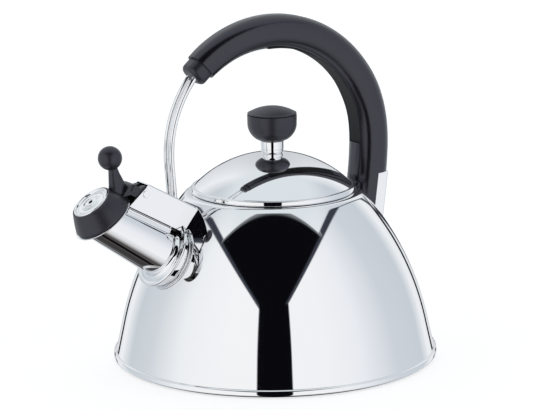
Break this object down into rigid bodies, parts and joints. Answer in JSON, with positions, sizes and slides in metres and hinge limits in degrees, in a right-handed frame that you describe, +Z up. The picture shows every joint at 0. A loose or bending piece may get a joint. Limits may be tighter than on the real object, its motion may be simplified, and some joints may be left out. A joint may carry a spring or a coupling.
{
  "type": "stovetop whistling kettle",
  "caption": "Domed steel stovetop kettle with arched handle, lift-off lid, tapered spout and a hinged, sprung whistle cap worked by a ball lever.",
  "frame": {"origin": "centre of the flat base, on the hob's surface", "axes": "+Z up, -X towards the spout, +X towards the handle's root, Y across, symmetric about Y=0"},
  "size_m": [0.2577, 0.22, 0.233],
  "materials": {
    "polished_steel": "mirror polished stainless steel",
    "plain_steel": "plain stainless steel",
    "core_aluminium": "plain",
    "black_moulding": "satin black phenolic moulding",
    "black_nylon": "matt black nylon",
    "silicone": "matt silicone"
  },
  "bodies": {
    "kettle": {"body_shell": "polished_steel", "base_pan": "polished_steel", "base_core": "core_aluminium", "base_plate": "plain_steel", "spout_tube": "polished_steel", "spout_collar": "polished_steel", "spout_flange": "polished_steel", "cover_saddle": "polished_steel", "bridge_cover": "polished_steel", "wire_anchor": "black_nylon", "hinge_pin": "polished_steel", "lever_spring": "plain_steel", "handle_wire_left": "polished_steel", "handle_wire_right": "polished_steel", "wire_collar": "black_moulding", "handle_grip": "black_moulding", "grip_inlay": "black_moulding", "handle_core": "plain_steel", "rear_bracket": "polished_steel", "bracket_screws": "plain_steel"},
    "lid": {"lid_dome": "polished_steel", "lid_plug": "plain_steel", "knob_ferrule": "polished_steel", "knob_bowl": "black_moulding", "knob_cap": "black_moulding", "knob_stud": "plain_steel", "knob_nut": "plain_steel", "knob_washer": "plain_steel"},
    "whistle": {"cap_shell": "black_moulding", "cap_seal": "silicone", "whistle_rear_disc": "plain_steel", "whistle_front_disc": "polished_steel", "whistle_lever": "black_moulding"}
  },
  "joints": [
    {"name": "lid_lift", "type": "slide", "parent": "kettle", "child": "lid", "axis": [0, 0, 1], "range_m": [0, 0.034]},
    {"name": "whistle_flip", "type": "hinge", "parent": "kettle", "child": "whistle", "pos_m": [-0.1003, 0, 0.12436], "axis": [0, 1, 0], "range_deg": [0, 52], "stiffness_Nm_per_rad": 0.05, "springref_deg": -28.65}
  ]
}
